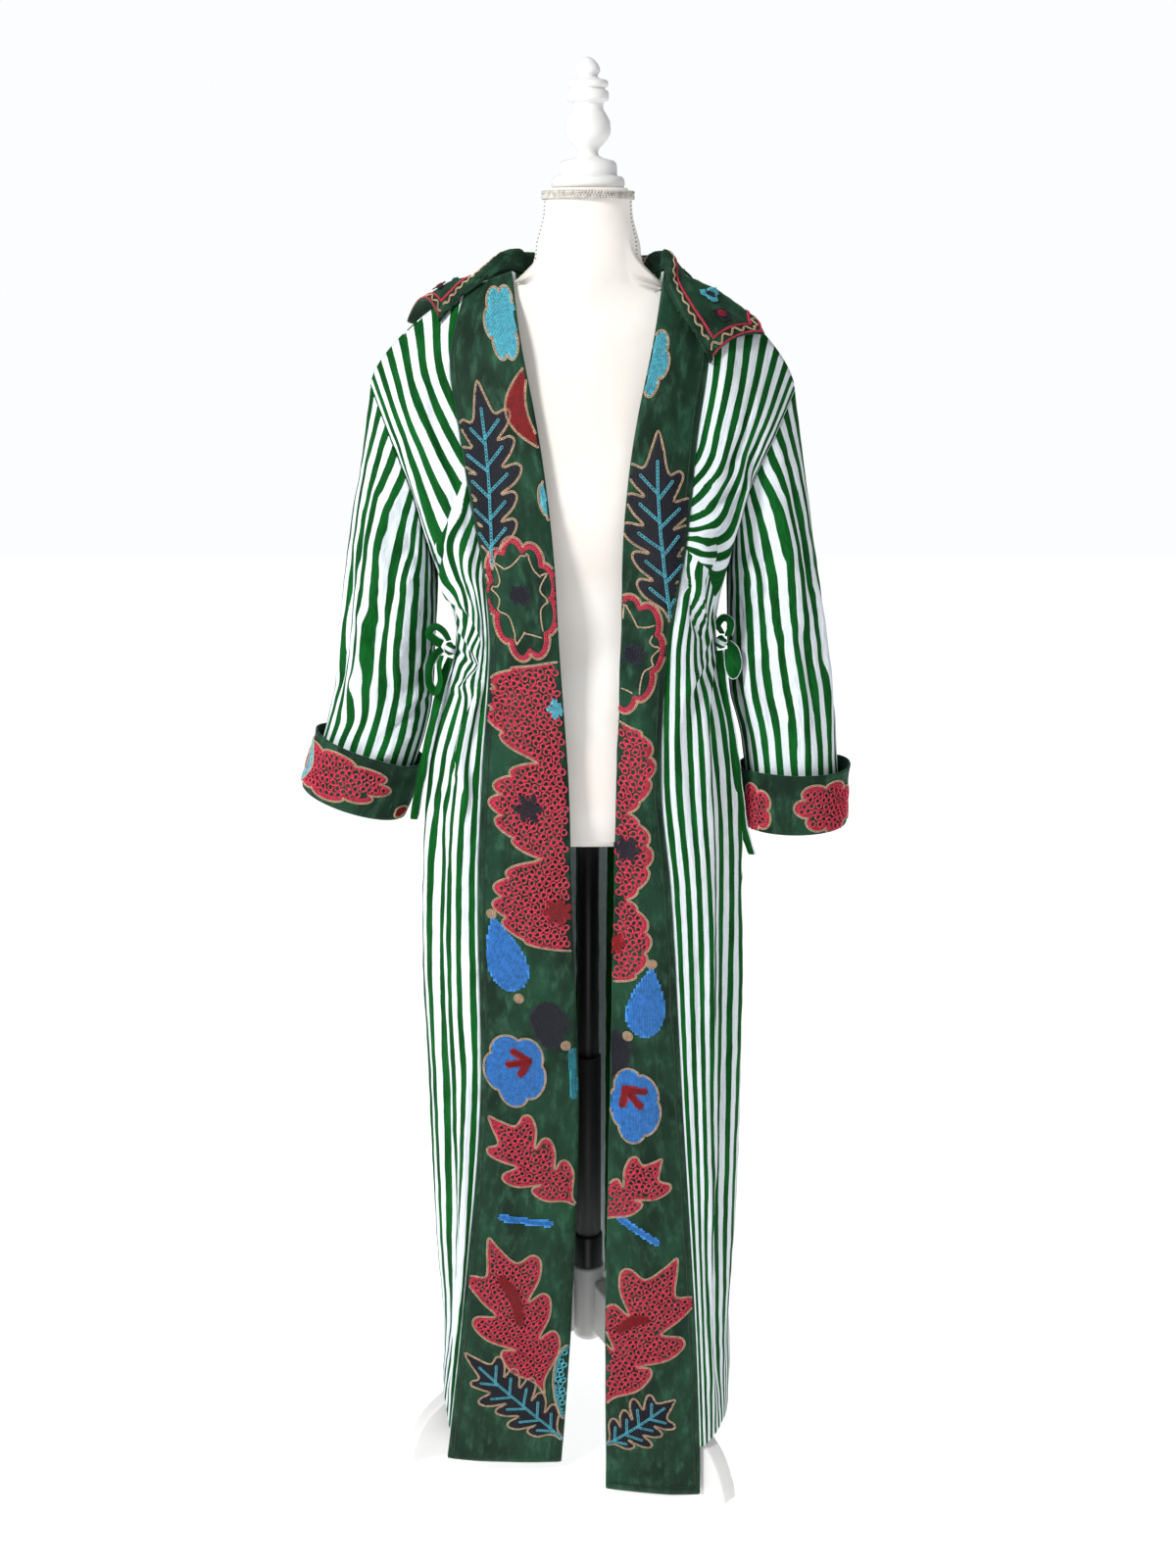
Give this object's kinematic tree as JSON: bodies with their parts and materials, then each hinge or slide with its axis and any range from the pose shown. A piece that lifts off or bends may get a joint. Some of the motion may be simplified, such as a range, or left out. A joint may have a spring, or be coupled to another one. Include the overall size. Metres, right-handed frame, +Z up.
{
  "type": "velvet duster coat on a dress form",
  "caption": "Long open coat of striped cotton with embroidered velvet bands, collar and turned-back cuffs, tied in at the waist, on a limbless dress form with a turned stand.",
  "frame": {"origin": "on the floor under the middle of the object's box", "axes": "+Z up along the stand's pole, the coat's front faces -Y, the wearer's right side is at -X"},
  "size_m": [0.5954, 0.3782, 1.564],
  "materials": {
    "green_velvet": "cotton velvet, chain-stitch embroidery",
    "striped_cotton": "soft plain-weave cotton, woven stripes",
    "form_canvas": "off-white canvas stretched over a padded form",
    "white_wood": "white satin paint",
    "black_steel": "black satin paint"
  },
  "bodies": {
    "root": {"band_right": "green_velvet", "front_right": "striped_cotton", "back": "striped_cotton", "front_left": "striped_cotton", "band_left": "green_velvet", "collar": "green_velvet", "sleeve_right": "striped_cotton", "cuff_right": "green_velvet", "tie_right_knot": "striped_cotton", "sleeve_left": "striped_cotton", "cuff_left": "green_velvet", "tie_left_knot": "striped_cotton", "tie_right_loop": "striped_cotton", "tie_right_bow": "striped_cotton", "tie_right_tail": "striped_cotton", "tie_left_loop": "striped_cotton", "tie_left_bow": "striped_cotton", "tie_left_tail": "striped_cotton", "form_torso": "form_canvas", "form_cap": "white_wood", "pole_upper": "black_steel", "pole_lower": "black_steel", "clamp_ring": "black_steel", "hub": "white_wood", "leg_1": "white_wood", "leg_2": "white_wood", "leg_3": "white_wood"}
  },
  "joints": []
}
